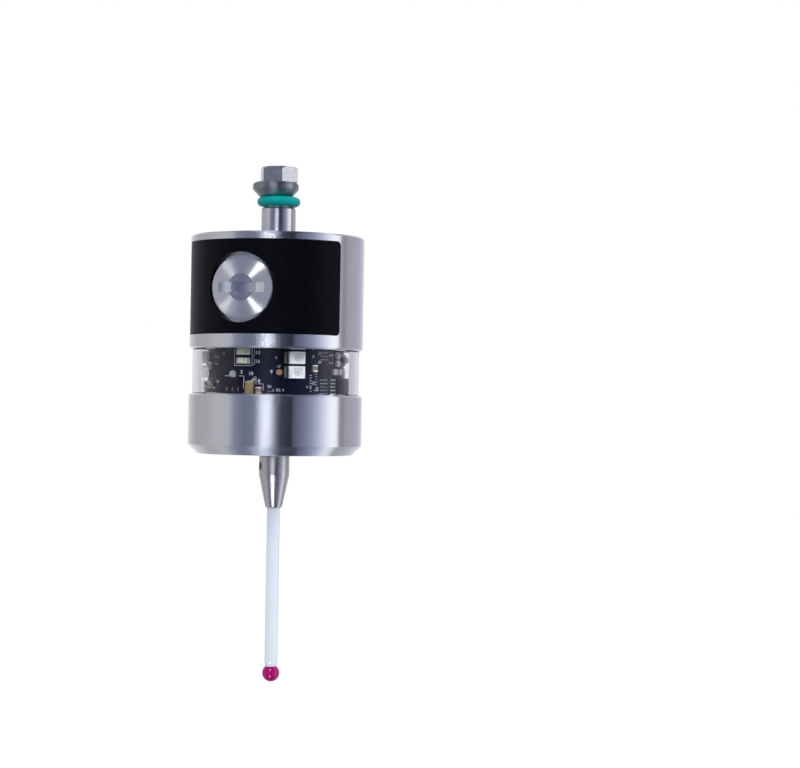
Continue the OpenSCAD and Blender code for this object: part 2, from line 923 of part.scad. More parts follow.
// The adjuster screws into the core tube and sets the load of the main spring.
adjuster_t = 3.4;
adjuster_rise = 7.6;
adjuster_z = core_disc_z + adjuster_rise;
adjuster_slot = 1.5;
adjuster_recess = 1.2;
spring_foot_z = arm_top_z + rest_gap;
spring_top_z = adjuster_z + adjuster_recess - rest_gap;
spring_r = 4.4;

module spring_adjuster() {
    color(BRONZE)
        difference() {
            translate([0, 0, adjuster_z])
                cylinder(h = adjuster_t, r = core_in_r - fit);
            translate([0, 0, adjuster_z - cut])
                cylinder(h = adjuster_recess + cut, r = spring_r + spring_wire);
            translate([-core_in_r, -adjuster_slot / 2, adjuster_z + adjuster_t - adjuster_slot])
                cube([2 * core_in_r, adjuster_slot, adjuster_slot + cut]);
        }
}

module main_spring() {
    color(STEEL)
        coil(
            spring_r, spring_r, spring_foot_z, spring_top_z - spring_foot_z,
            spring_wire, spring_turns, 20, 8
        );
}

module diaphragm() {
    rim_z = nose_z + nose_ring_t + rest_gap;
    bead_r = carrier_neck_r + rest_gap;
    bead = 2 * diaphragm_t;
    bead_z = seat_ring_z - bead;
    color(RUBBER)
        rotate_extrude() {
            translate([diaphragm_web_r, rim_z])
                square([diaphragm_rim_r - diaphragm_web_r, diaphragm_t]);
            translate([bead_r, bead_z])
                square([bead, bead]);
            polygon([
                [bead_r + bead / 2, bead_z],
                [diaphragm_web_r + rest_gap, rim_z],
                [diaphragm_web_r + rest_gap, rim_z + diaphragm_t],
                [bead_r + bead / 2, bead_z + diaphragm_t]
            ]);
        }
}

module nose_ring() {
    color(STEEL)
        difference() {
            ring(nose_open_r, nose_ring_r, nose_z, nose_ring_t);
            for (i = [0:2])
                rotate([0, 0, nose_screw_angle + 120 * i])
                    translate([nose_screw_r, 0, nose_z - cut])
                        cylinder(h = nose_ring_t + 2 * cut, d = nose_screw_d + 2 * fit);
        }
}

module nose_screws() {
    color(BRIGHT)
        for (i = [0:2])
            rotate([0, 0, nose_screw_angle + 120 * i])
                translate([nose_screw_r, 0, nose_z])
                    cylinder(h = nose_floor - 4 * rest_gap, d = nose_screw_d);
}

module seat_ball(i) {
    color(BRIGHT)
        rotate([0, 0, 90 + 120 * i])
            translate([seat_r, 0, ball_z])
                sphere(r = ball_r);
}

module stylus_carrier() {
    hub_r = 5.2;
    boss_gap = 0.5;
    boss_r = spring_r - spring_wire / 2 - boss_gap;
    boss_h = 1.6;
    color(BRIGHT)
        difference() {
            union() {
                translate([0, 0, arm_z])
                    cylinder(h = arm_t, r = hub_r);
                translate([0, 0, arm_top_z - rest_gap])
                    cylinder(h = boss_h + rest_gap, r = boss_r);
                translate([0, 0, stylus_z])
                    cylinder(h = arm_z - stylus_z + rest_gap, r = carrier_neck_r);
                for (i = [0:2])
                    rotate([0, 0, 90 + 120 * i]) {
                        translate([0, -arm_w / 2, arm_z])
                            cube([seat_r, arm_w, arm_t]);
                        translate([seat_r, 0, arm_z])
                            cylinder(h = arm_t, r = arm_w / 2);
                    }
            }
            at_seats()
                translate([0, 0, ball_z])
                    sphere(r = ball_r + contact_gap);
            translate([0, 0, stylus_z - cut])
                cylinder(h = thread_l + rest_gap + cut, r = thread_r + fit);
        }
}

module dust_shield() {
    low = nose_z + rest_gap;
    shield_in_r = carrier_neck_r + contact_gap;
    color(STEEL)
        rotate_extrude()
            polygon([
                [shield_in_r, low],
                [shield_in_r + shield_t, low],
                [shield_r, low + shield_drop],
                [shield_r, low + shield_drop + shield_t],
                [shield_in_r + shield_t, low + shield_t + shield_drop / 2],
                [shield_in_r, low + shield_t + shield_drop / 2]
            ]);
}

module stylus_holder() {
    color(BRIGHT)
        difference() {
            rotate_extrude()
                polygon([
                    [0, holder_z],
                    [holder_foot_d / 2 - holder_lip, holder_z],
                    [holder_foot_d / 2, holder_taper_z],
                    [holder_r, holder_straight_z],
                    [holder_r, stylus_z - rest_gap],
                    [thread_r, stylus_z - rest_gap],
                    [thread_r, stylus_z + thread_l],
                    [0, stylus_z + thread_l]
                ]);
            translate([0, 0, holder_z - cut])
                cylinder(h = ceramic_socket_h + cut, r = ceramic_r + fit / 2);
            translate([0, 0, cross_hole_z])
                rotate([0, 0, cap_angle + cross_hole_angle])
                    rotate([0, 90, 0])
                        cylinder(h = 2 * holder_r + cut, d = cross_hole_d, center = true);
        }
}

module stylus_stem() {
    top = holder_z + ceramic_socket_h - rest_gap;
    color(WHITE)
        difference() {
            rotate_extrude()
                polygon([
                    [0, ceramic_end_z],
                    [ceramic_r - ceramic_nip, ceramic_end_z],
                    [ceramic_r, ceramic_end_z + ceramic_nip_h],
                    [ceramic_r, top],
                    [0, top]
                ]);
            translate([0, 0, ruby_z])
                sphere(r = ruby_r + contact_gap);
        }
}

module ruby_ball() {
    color(RUBY)
        translate([0, 0, ruby_z])
            sphere(r = ruby_r);
}

upper_housing();
side_cover();
mounting_stem();
draw_ring();
hex_screw();
stem_o_ring();
battery();
battery_contact_spring();
battery_contact_plate();
battery_cap();
cap_seal_ring();
cap_contact_spring();
window_ring();
upper_window_gasket();
lower_window_gasket();
core_tube();
board_former();
circuit_board();
infrared_emitters();
status_lamps();
regulator_chips();
signal_chips();
tantalum_capacitors();
chip_capacitors();
chip_resistors();
processor_board();
processor_chip();
lower_housing();
seat_ring();
seat_rollers();
spring_adjuster();
main_spring();
diaphragm();
nose_ring();
nose_screws();
seat_ball(0);  // seat_ball_a
seat_ball(1);  // seat_ball_b
seat_ball(2);  // seat_ball_c
stylus_carrier();
dust_shield();
stylus_holder();
stylus_stem();
ruby_ball();
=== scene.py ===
# Optical touch probe: a stainless body in two housings with a clear signal window between them,
# a slotted battery cap in a black cover, a stem for the machine's shank, and a ceramic stylus
# with a ruby ball. Sizes are in metres, in the same frame as the solids.
from math import cos, pi, radians, sin

import bpy
from mathutils import Matrix, Vector


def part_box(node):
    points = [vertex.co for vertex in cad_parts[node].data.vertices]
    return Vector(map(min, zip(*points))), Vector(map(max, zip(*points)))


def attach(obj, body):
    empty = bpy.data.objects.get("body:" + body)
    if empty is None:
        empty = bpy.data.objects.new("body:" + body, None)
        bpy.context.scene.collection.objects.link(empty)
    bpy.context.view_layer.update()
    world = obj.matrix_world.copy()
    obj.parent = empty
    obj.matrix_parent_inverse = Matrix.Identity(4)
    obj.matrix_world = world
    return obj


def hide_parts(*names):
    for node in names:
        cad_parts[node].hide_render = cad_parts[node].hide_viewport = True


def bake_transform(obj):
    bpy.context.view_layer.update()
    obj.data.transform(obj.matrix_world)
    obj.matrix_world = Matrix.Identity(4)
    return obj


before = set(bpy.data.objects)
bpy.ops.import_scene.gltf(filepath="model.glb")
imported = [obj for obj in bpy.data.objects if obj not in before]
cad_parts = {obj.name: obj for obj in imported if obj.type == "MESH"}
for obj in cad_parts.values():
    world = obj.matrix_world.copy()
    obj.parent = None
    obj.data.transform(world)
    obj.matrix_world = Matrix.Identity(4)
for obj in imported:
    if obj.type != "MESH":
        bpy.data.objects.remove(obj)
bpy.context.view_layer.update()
MM = 0.001

# Turned housings.
# The upper and lower housing and the nose ring are stainless bar, faced and turned on a lathe,
# with a fine satin feed mark that runs round them. The two housings screw on to the core tube.


def surface(
    name, colour, rough, metallic=0.0, scale=900.0, vary=0.05, rough_vary=0.04, relief=0.0,
    stretch=(1, 1, 1), **sockets
):
    """A finish whose colour, gloss and relief vary finely from place to place."""
    material = bpy.data.materials.new(name)
    material.use_nodes = True
    nodes, links = material.node_tree.nodes, material.node_tree.links
    shader = nodes["Principled BSDF"]
    shader.inputs["Metallic"].default_value = metallic
    for socket, value in sockets.items():
        shader.inputs[socket.replace("_", " ")].default_value = value
    place = nodes.new("ShaderNodeTexCoord")
    mapping = nodes.new("ShaderNodeMapping")
    mapping.inputs["Scale"].default_value = stretch
    noise = nodes.new("ShaderNodeTexNoise")
    noise.inputs["Scale"].default_value = scale
    noise.inputs["Detail"].default_value = 4.0
    links.new(place.outputs["Object"], mapping.inputs["Vector"])
    links.new(mapping.outputs["Vector"], noise.inputs["Vector"])
    tint = nodes.new("ShaderNodeMix")
    tint.data_type = "RGBA"
    tint.inputs[6].default_value = (*[c * (1 - vary) for c in colour], 1)
    tint.inputs[7].default_value = (*[min(1, c * (1 + vary)) for c in colour], 1)
    links.new(noise.outputs["Fac"], tint.inputs[0])
    links.new(tint.outputs[2], shader.inputs["Base Color"])
    gloss = nodes.new("ShaderNodeMapRange")
    gloss.inputs["To Min"].default_value = max(0, rough - rough_vary)
    gloss.inputs["To Max"].default_value = rough + rough_vary
    links.new(noise.outputs["Fac"], gloss.inputs["Value"])
    links.new(gloss.outputs["Result"], shader.inputs["Roughness"])
    if relief:
        bump = nodes.new("ShaderNodeBump")
        bump.inputs["Strength"].default_value = 0.5
        bump.inputs["Distance"].default_value = relief
        links.new(noise.outputs["Fac"], bump.inputs["Height"])
        links.new(bump.outputs["Normal"], shader.inputs["Normal"])
    return material


def turning_marks(material, centre=(0, 0, 0), tilt=0.0):
    """Lays a finish's noise in rings about an axis through centre, as a lathe tool leaves it."""
    nodes, links = material.node_tree.nodes, material.node_tree.links
    mapping = next(n for n in nodes if n.type == "MAPPING")
    noise = next(n for n in nodes if n.type == "TEX_NOISE")
    mapping.vector_type = "TEXTURE"
    mapping.inputs["Location"].default_value = centre
    mapping.inputs["Rotation"].default_value = (tilt, 0, 0)
    split = nodes.new("ShaderNodeSeparateXYZ")
    flat = nodes.new("ShaderNodeCombineXYZ")
    radius = nodes.new("ShaderNodeVectorMath")
    radius.operation = "LENGTH"
    rings = nodes.new("ShaderNodeCombineXYZ")
    links.new(mapping.outputs["Vector"], split.inputs["Vector"])
    links.new(split.outputs["X"], flat.inputs["X"])
    links.new(split.outputs["Y"], flat.inputs["Y"])
    links.new(flat.outputs["Vector"], radius.inputs[0])
    links.new(radius.outputs["Value"], rings.inputs["X"])
    links.new(split.outputs["Z"], rings.inputs["Z"])
    links.new(rings.outputs["Vector"], noise.inputs["Vector"])
    return material


def dress(material, *names):
    """Gives these solids of the frame a finish."""
    for name in names:
        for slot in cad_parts[name].material_slots:
            slot.material = material


housing_steel = turning_marks(surface(
    "turned housing steel", (0.74, 0.74, 0.76), 0.19, 1.0, scale=1600, vary=0.04, rough_vary=0.02,
    relief=0.002 * MM, Anisotropic=1.0, Anisotropic_Rotation=0.25,
))
dress(housing_steel, "upper_housing", "lower_housing", "nose_ring", "dust_shield")

# Side cover.
# A thin aluminium cover, black anodised over a blasted grain, let into the upper housing round
# the battery cap and held by its own spring.
cover_black = surface(
    "black grained cover", (0.0008, 0.0008, 0.0018), 0.36, scale=3800, vary=0.35, rough_vary=0.2,
    relief=0.25 * MM, Specular_IOR_Level=0.1, Specular_Tint=(0.75, 0.72, 1, 1),
)
dress(cover_black, "side_cover")

# Mounting stem, draw ring and hexagon screw.
# All three are bright turned stainless. The ring is loose on the neck: set screws in the shank
# bear under its cone, and the hexagon screw above keeps it on.
bright_steel = turning_marks(surface(
    "bright stem steel", (0.7, 0.7, 0.72), 0.2, 1.0, scale=1900, vary=0.05, rough_vary=0.03,
    relief=0.002 * MM, Anisotropic=1.0, Anisotropic_Rotation=0.25,
))
dress(bright_steel, "mounting_stem")
ring_steel = turning_marks(surface(
    "dull draw ring steel", (0.3, 0.31, 0.34), 0.36, 1.0, scale=1500, vary=0.08, rough_vary=0.06,
    relief=0.006 * MM, Anisotropic=0.5, Anisotropic_Rotation=0.25,
))
dress(ring_steel, "draw_ring")
hexagon_steel = surface(
    "hexagon steel", (0.6, 0.58, 0.59), 0.2, 1.0, scale=900, vary=0.25, rough_vary=0.1,
    relief=0.05 * MM, stretch=(1, 1, 3),
)
dress(hexagon_steel, "hex_screw")

# Sealing rings.
# The O-ring in the neck is moulded from blue-green fluororubber, with a faint flash line and a
# dull bloom. The cap's ring and the two window gaskets are black nitrile.
green_rubber = surface(
    "green sealing rubber", (0.0, 0.36, 0.335), 0.42, scale=1100, vary=0.12, rough_vary=0.08,
    relief=0.006 * MM, Specular_IOR_Level=0.15,
)
dress(green_rubber, "stem_o_ring")
black_rubber = surface(
    "black sealing rubber", (0.016, 0.016, 0.017), 0.55, scale=1500, vary=0.2, rough_vary=0.08,
    relief=0.01 * MM,
)
dress(black_rubber, "cap_seal_ring", "upper_window_gasket", "lower_window_gasket", "diaphragm")

# Battery and its contacts.
# The half-length cell has a shrink sleeve. Coiled springs of phosphor bronze press on both of
# its ends, one against a plate in the bore and one in the cap's pocket.
battery_sleeve = surface(
    "battery shrink sleeve", (0.03, 0.22, 0.14), 0.28, scale=300, vary=0.08, relief=0.01 * MM,
    Coat_Weight=0.4,
)
dress(battery_sleeve, "battery")
contact_bronze = surface(
    "contact bronze", (0.72, 0.5, 0.26), 0.24, 1.0, scale=1500, vary=0.1, relief=0.003 * MM
)
dress(contact_bronze, "battery_contact_spring", "battery_contact_plate", "cap_contact_spring")

# Battery cap.
# A stainless cap, faced from the middle out so that its slope gathers the light in fans, with a
# coin slot that a disc cutter left hollow. It screws into the battery bore.


def feed(socket, value):
    """Gives a node's input a value, or links another node's output to it."""
    if isinstance(value, bpy.types.NodeSocket):
        socket.id_data.links.new(value, socket)
    else:
        socket.default_value = value


def reckon(tree, operation, *values):
    """The output of a new math node, fed with numbers and with other nodes' outputs."""
    node = tree.nodes.new("ShaderNodeMath")
    node.operation = operation
    for socket, value in zip(node.inputs, values):
        feed(socket, value)
    return node.outputs["Value"]


def mixed(tree, share, first, second):
    """The output of a new mix of two numbers, which is all the second where the share is 1."""
    node = tree.nodes.new("ShaderNodeMix")
    for index, value in ((0, share), (2, first), (3, second)):
        feed(node.inputs[index], value)
    return node.outputs[0]


def mixed_colour(tree, share, first, second):
    """The output of a new mix of two colours, which is all the second where the share is 1."""
    node = tree.nodes.new("ShaderNodeMix")
    node.data_type = "RGBA"
    for index, value in ((0, share), (6, first), (7, second)):
        feed(node.inputs[index], value)
    return node.outputs[2]


cap_low, cap_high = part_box("battery_cap")
cap_z = (cap_low.z + cap_high.z) / 2
cap_steel = turning_marks(surface(
    "faced cap steel", (0.82, 0.82, 0.83), 0.3, 1.0, scale=2600, vary=0.07, rough_vary=0.03,
    relief=0.003 * MM, Anisotropic=1.0, Anisotropic_Rotation=0.25,
), centre=(0, 0, cap_z), tilt=radians(90))
tree = cap_steel.node_tree
nodes, links = tree.nodes, tree.links
shader = nodes["Principled BSDF"]
facing = nodes.new("ShaderNodeTangent")
facing.direction_type = "RADIAL"
facing.axis = "Y"
links.new(facing.outputs["Tangent"], shader.inputs["Tangent"])
# The cutter leaves the slot's floor smoother than the faced front
slot_half_length = 5.85 * MM
slot_half_width = 1.14 * MM
slot_rough = 0.13
place = next(n for n in nodes if n.type == "TEX_COORD")
split = nodes.new("ShaderNodeSeparateXYZ")
links.new(place.outputs["Object"], split.inputs["Vector"])
along_slot = reckon(tree, "COMPARE", split.outputs["X"], 0, slot_half_length)
across_slot = reckon(tree, "COMPARE", split.outputs["Z"], cap_z, slot_half_width)
in_slot = reckon(tree, "MULTIPLY", along_slot, across_slot)
# The middle is faced flat, and finer than the slope round it. Its colour is a darker, bluer
# painted shade, which stands in for the dark reflection that the flat face shows
flat_r = 3.1 * MM
flat_rough = 0.16
flat_painted_shade = (0.5, 0.5, 0.58, 1)
radius = next(n for n in nodes if n.type == "VECT_MATH" and n.operation == "LENGTH")
on_flat = reckon(tree, "LESS_THAN", radius.outputs["Value"], flat_r)
slope_colour = shader.inputs["Base Color"].links[0].from_socket
slope_rough = shader.inputs["Roughness"].links[0].from_socket
# The flat middle takes the painted shade colour in place of the slope's steel colour
feed(shader.inputs["Base Color"], mixed_colour(tree, on_flat, slope_colour, flat_painted_shade))
front_rough = mixed(tree, on_flat, slope_rough, flat_rough)
feed(shader.inputs["Roughness"], mixed(tree, in_slot, front_rough, slot_rough))
dress(cap_steel, "battery_cap")

# Window ring.
# Cast clear ring, polished all over, that the two housings clamp between its gaskets. It lets
# the infrared signal out all round.
window_clear = surface(
    "clear window", (0.975, 0.98, 0.99), 0.02, scale=200, vary=0.01, rough_vary=0.01,
    Transmission_Weight=1.0, IOR=1.49, Specular_Tint=(0.3, 0.3, 0.35, 1),
)
dress(window_clear, "window_ring")
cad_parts["window_ring"].visible_shadow = False

# Core tube, board former and adjuster.
# The core is machined aluminium and carries the black moulded former round which the board is
# wrapped. The brass adjuster sets the load of the main spring.
core_aluminium = turning_marks(surface(
    "machined aluminium", (0.7, 0.71, 0.73), 0.36, 1.0, scale=1500, vary=0.05, relief=0.006 * MM
))
dress(core_aluminium, "core_tube", "stylus_carrier")
black_moulding = surface(
    "black moulding", (0.02, 0.02, 0.023), 0.5, scale=1800, vary=0.15, relief=0.01 * MM
)
dress(black_moulding, "board_former")
adjuster_brass = turning_marks(surface(
    "turned brass", (0.72, 0.53, 0.25), 0.3, 1.0, scale=1500, vary=0.06, relief=0.006 * MM
))
dress(adjuster_brass, "spring_adjuster")

# Circuit board.
# A thin flexible laminate in dark blue solder resist, wrapped round the former, with fine copper
# tracks that show faintly through the resist and white print on top.
CAP = -pi / 2
board_low, board_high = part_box("circuit_board")
board_r = board_high.x
board_top = board_high.z
board_height = board_high.z - board_low.z

board_resist = surface(
    "dark blue resist", (0.003, 0.003, 0.012), 0.2, scale=500, vary=0.12, rough_vary=0.05,
    relief=0.002 * MM, Specular_IOR_Level=0.1,
)
tree = board_resist.node_tree
nodes, links = tree.nodes, tree.links
tint = next(n for n in nodes if n.type == "MIX")
split = nodes.new("ShaderNodeSeparateXYZ")
unrolled = nodes.new("ShaderNodeCombineXYZ")
tracks = nodes.new("ShaderNodeTexBrick")
tracks.inputs["Scale"].default_value = 420
tracks.inputs["Mortar Size"].default_value = 0.035
tracks.inputs["Mortar Smooth"].default_value = 0.2
tracks.inputs["Brick Width"].default_value = 0.9
tracks.inputs["Row Height"].default_value = 0.31
tracks.inputs["Color1"].default_value = (0.0024, 0.0027, 0.0105, 1)
tracks.inputs["Color2"].default_value = (0.0035, 0.004, 0.015, 1)
tracks.inputs["Mortar"].default_value = (0.01, 0.011, 0.032, 1)
place = next(n for n in nodes if n.type == "TEX_COORD")
links.new(place.outputs["Object"], split.inputs["Vector"])
around = reckon(tree, "ARCTAN2", split.outputs["Y"], split.outputs["X"])
feed(unrolled.inputs["Y"], reckon(tree, "MULTIPLY", around, board_r))
links.new(split.outputs["Z"], unrolled.inputs["X"])
links.new(unrolled.outputs["Vector"], tracks.inputs["Vector"])
track_share = 0.6
feed(
    nodes["Principled BSDF"].inputs["Base Color"],
    mixed_colour(tree, track_share, tint.outputs[2], tracks.outputs["Color"]),
)
dress(board_resist, "circuit_board", "processor_board")

# Infrared emitters.
# Eight white moulded cases in four pairs, soldered to the board. Each has one cut corner, its
# dull tinned leads at one end, and a round lens nearly flush with the face, over a dark die.
emitter_white = surface(
    "white moulded case", (0.8, 0.8, 0.83), 0.35, scale=1300, vary=0.03, relief=0.004 * MM
)
tinned = surface(
    "tinned copper", (0.6, 0.6, 0.62), 0.3, 1.0, scale=2600, vary=0.1, rough_vary=0.1,
    relief=0.012 * MM,
)
dull_tin = surface("dull tin", (0.3, 0.3, 0.27), 0.4, 1.0, scale=2600, vary=0.15)
die_black = surface("dark die", (0.02, 0.02, 0.025), 0.2, scale=3000, vary=0.2)
lens_resin = surface("pale lens resin", (0.66, 0.66, 0.7), 0.12, scale=900, vary=0.04)


def start_afresh():
    """Leaves edit mode and selects nothing."""
    if bpy.context.mode != "OBJECT":
        bpy.ops.object.mode_set(mode="OBJECT")
    bpy.ops.object.select_all(action="DESELECT")


def block(low, high, material, edge=0.0, steps=2):
    """A block between two corners, in mm, with its edges rounded off."""
    start_afresh()
    size = [(b - a) * MM for a, b in zip(low, high)]
    bpy.ops.mesh.primitive_cube_add(size=1, location=[(a + b) / 2 * MM for a, b in zip(low, high)])
    piece = bpy.context.object
    piece.scale = size
    bpy.ops.object.transform_apply(location=True, rotation=True, scale=True)
    if edge:
        bpy.ops.object.mode_set(mode="EDIT")
        bpy.ops.mesh.select_all(action="SELECT")
        bpy.ops.mesh.bevel(offset=edge * MM, segments=steps, profile=0.5, clamp_overlap=True)
        bpy.ops.object.mode_set(mode="OBJECT")
        bpy.ops.object.shade_smooth_by_angle(angle=radians(35))
    piece.data.materials.append(material)
    return piece


def disc(r, low, high, material, sides=24, foot_r=None, centre=(0, 0), edge=0.0):
    """A round piece about +X, from low to high, in mm, with a foot of its own radius."""
    start_afresh()
    bpy.ops.mesh.primitive_cone_add(
        vertices=sides, radius1=(foot_r or r) * MM, radius2=r * MM, depth=(high - low) * MM,
        location=((low + high) / 2 * MM, centre[0] * MM, centre[1] * MM),
        rotation=(0, radians(90), 0),
    )
    piece = bpy.context.object
    bpy.ops.object.transform_apply(location=True, rotation=True, scale=True)
    if edge:
        bpy.ops.object.mode_set(mode="EDIT")
        bpy.ops.mesh.select_all(action="DESELECT")
        bpy.ops.object.mode_set(mode="OBJECT")
        for side in piece.data.edges:
            ends = [piece.data.vertices[v].co.x for v in side.vertices]
            side.select = min(ends) > high * MM - 1e-7
        bpy.ops.object.mode_set(mode="EDIT")
        bpy.ops.mesh.bevel(offset=edge * MM, segments=2, profile=0.5)
        bpy.ops.object.mode_set(mode="OBJECT")
    bpy.ops.object.shade_smooth_by_angle(angle=radians(35))
    piece.data.materials.append(material)
    return piece


def cut_away(piece, cutter):
    """Cuts the cutter's shape out of a piece and drops the cutter."""
    start_afresh()
    piece.select_set(True)
    bpy.context.view_layer.objects.active = piece
    cut = piece.modifiers.new("cut", "BOOLEAN")
    cut.object = cutter
    cut.solver = "EXACT"
    bpy.ops.object.modifier_apply(modifier="cut")
    bpy.data.objects.remove(cutter)
    return piece


def join(pieces, name):
    """Makes several pieces one, each part of it keeping its finish."""
    start_afresh()
    for piece in pieces:
        piece.select_set(True)
    bpy.context.view_layer.objects.active = pieces[0]
    bpy.ops.object.join()
    piece = bpy.context.object
    piece.name = piece.data.name = name
    return piece


def gull_lead(y, low_z, high_z, top, out, drop=0.0, thick=0.12):
    """A lead bent down from the side of a chip to the board, in mm. It runs along +Y from y."""
    start_afresh()
    bpy.ops.mesh.primitive_plane_add(
        size=1, location=(top * MM, y * MM, (low_z + high_z) / 2 * MM),
        rotation=(radians(90), 0, 0),
    )
    piece = bpy.context.object
    piece.scale = (thick * MM, (high_z - low_z) * MM, 1)
    bpy.ops.object.transform_apply(location=True, rotation=True, scale=True)
    bpy.ops.object.mode_set(mode="EDIT")
    bpy.ops.mesh.select_all(action="SELECT")
    for x, along in ((0, 0.3), (thick - top + drop, 0.12), (0, 0.48)):
        bpy.ops.mesh.extrude_region_move(
            TRANSFORM_OT_translate={"value": (x * MM, along * out * MM, 0)}
        )
    bpy.ops.mesh.select_all(action="SELECT")
    bpy.ops.mesh.normals_make_consistent(inside=False)
    bpy.ops.object.mode_set(mode="OBJECT")
    piece.data.materials.append(tinned)
    return piece


def twin(model):
    """A copy of a piece with a mesh of its own."""
    copy = model.copy()
    copy.data = model.data.copy()
    bpy.context.collection.objects.link(copy)
    return copy


def on_board(angle, z, rise=0.0):
    """Takes what is modelled on the +X side to an angle from the cap and a height on the board."""
    turn = Matrix.Rotation(CAP + radians(angle), 4, "Z")
    return turn @ Matrix.Translation((board_r + rise, 0, z))


def set_on_board(model, places, name, node):
    """Copies a part modelled on the +X side to each (angle from the cap, height), as one piece."""
    copies = []
    for angle, z in places:
        copy = twin(model)
        copy.data.transform(on_board(angle, z))
        copies.append(copy)
    bpy.data.objects.remove(model)
    piece = join(copies, name)
    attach(piece, "probe_body")
    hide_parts(node)
    return piece


case_left, case_right = -1.35, 2.1
case_top = 1.375
case_face = 1.3
case = block(
    (0.02, case_left, -case_top), (case_face, case_right, case_top), emitter_white, 0.07
)
corner = block((0.9, -1.0, -1.0), (1.6, 1.0, 1.0), emitter_white)
corner.data.transform(
    Matrix.Translation((0, case_left * MM, case_top * MM)) @ Matrix.Rotation(radians(45), 4, "X")
    @ Matrix.Translation((0, 0, 0.62 * MM))
)
case = cut_away(case, corner)
lens_middle = (0.5, 0)
lens_well = disc(0.95, 1.0, case_face + 0.02, lens_resin, 32, 0.8, centre=lens_middle)
case = cut_away(case, lens_well)
parts = [case, disc(0.88, 0.94, 1.24, lens_resin, 32, centre=lens_middle)]
parts.append(block((1.2, 0.34, -0.13), (1.27, 0.6, 0.13), die_black, 0.02))
parts.append(block((1.2, -0.1, -0.3), (1.26, -0.02, 0.25), dull_tin, 0.02))
parts.append(block((0.02, -1.95, -1.2), (0.6, -1.36, 1.2), die_black, 0.05))
for low, high in ((-1.5, -1.42), (-2.05, -1.93)):
    parts.append(block((0.0, low, -1.22), (0.66, high, 1.22), dull_tin, 0.03))
parts.append(block((-0.02, -2.2, -1.25), (0.09, -1.3, 1.25), dull_tin, 0.03))
led_low, led_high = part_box("infrared_emitters")
led_levels = (led_high.z - case_top * MM, led_low.z + case_top * MM)
first_pair, pairs = 40, 4
set_on_board(
    join(parts, "emitter"),
    [(first_pair + 360 / pairs * i, z) for i in range(pairs) for z in led_levels],
    "infrared_emitters_soldered", "infrared_emitters",
)

# Status lamps.
# Two small lamps one above the other: a white base with a tinned end at each side, and a cream
# lens between them in which the die shows as a dark speck.
lamp_base = surface("white lamp base", (0.75, 0.75, 0.72), 0.4, scale=1200, vary=0.04)
lamp_lens = surface(
    "cream lamp lens", (0.72, 0.72, 0.52), 0.15, scale=1200, vary=0.1, Coat_Weight=0.5
)
lamp_top = 0.675
parts = [block((0.02, -1.6, -lamp_top), (0.3, 1.6, lamp_top), lamp_base, 0.03)]
parts.append(block((0.28, -1.02, -0.6), (0.78, 1.02, 0.6), lamp_lens, 0.14, 3))
parts.append(block((0.7, 0.45, -0.22), (0.785, 0.72, 0.2), die_black, 0.02))
for side in (-1, 1):
    edges = sorted((side * 1.1, side * 1.62))
    parts.append(block((-0.02, edges[0], -0.69), (0.36, edges[1], 0.69), tinned, 0.04))
lamp_low, lamp_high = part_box("status_lamps")
lamp_angle = -0.8
set_on_board(
    join(parts, "lamp"),
    [(lamp_angle, lamp_high.z - lamp_top * MM), (lamp_angle, lamp_low.z + lamp_top * MM)],
    "status_lamps_soldered", "status_lamps",
)

# Regulators.
# Black moulded bodies with three short straight leads below, and a bright round mound of solder
# over the middle of the upper edge.
chip_resin = surface(
    "black chip resin", (0.004, 0.004, 0.009), 0.42, scale=2400, vary=0.25, relief=0.008 * MM,
    Specular_IOR_Level=0.12,
)


def height(share):
    """The level of a part by the share of the board's height that it lies below the top edge."""
    return board_top - board_height * share


parts = [block((0.06, -2.2, -1.05), (1.2, 2.2, 1.05), chip_resin, 0.12)]
parts.append(disc(0.95, -0.02, 0.34, tinned, 28, centre=(0, 1.75), edge=0.16))
lead_pitch, lead_half = 1.5, 0.09
for k in (-1, 0, 1):
    y = k * lead_pitch
    parts.append(block((0.04, y - lead_half, -2.0), (0.24, y + lead_half, -1.0), tinned, 0.04))
set_on_board(
    join(parts, "regulator"), [(-10.4, height(0.7)), (148, height(0.7))],
    "regulator_chips_soldered", "regulator_chips",
)

# Signal chips.
# Three larger black moulded chips, each with a row of five bent leads down either side and a
# small moulded dimple by its first lead.
body = block((0.1, -3.5, -2), (1, 3.5, 2), chip_resin, 0.12)
body = cut_away(body, disc(0.32, 0.93, 1.1, chip_resin, 20, centre=(2.8, 1.4)))
parts = [body]
lead_pitch, lead_half = 0.78, 0.17
for k in range(5):
    z = (k - 2) * lead_pitch
    lead = gull_lead(3.45, z - lead_half, z + lead_half, 0.55, 0.95, drop=-0.3)
    parts.append(lead)
    other = twin(lead)
    other.data.transform(Matrix.Rotation(pi, 4, "X") @ Matrix.Translation((0, 0, -2 * z * MM)))
    parts.append(other)
set_on_board(
    join(parts, "chip"), [(88.5, height(0.75)), (180, height(0.75)), (265, height(0.75))],
    "signal_chips_soldered", "signal_chips",
)

# Tantalum capacitors.
# Tan moulded blocks that stand on end, with a paler band at the positive end and a tinned strip
# folded under each end.
tantalum_tan = surface(
    "tan moulding", (0.22, 0.155, 0.055), 0.45, scale=1500, vary=0.1, relief=0.006 * MM
)
tantalum_band = surface("pale band", (0.26, 0.26, 0.19), 0.45, scale=1500, vary=0.06)
parts = [block((0.06, -0.85, -1.5), (1.28, 0.85, 0.85), tantalum_tan, 0.1)]
parts.append(block((0.06, -0.85, 0.83), (1.3, 0.85, 1.25), tantalum_band, 0.1))
for low, high in ((-1.6, -1.42), (1.2, 1.36)):
    parts.append(block((-0.02, -0.6, low), (0.7, 0.6, high), tinned, 0.04))
set_on_board(
    join(parts, "tantalum"), [(a, height(0.77)) for a in (5.6, 115, 203, 292)],
    "tantalum_capacitors_soldered", "tantalum_capacitors",
)

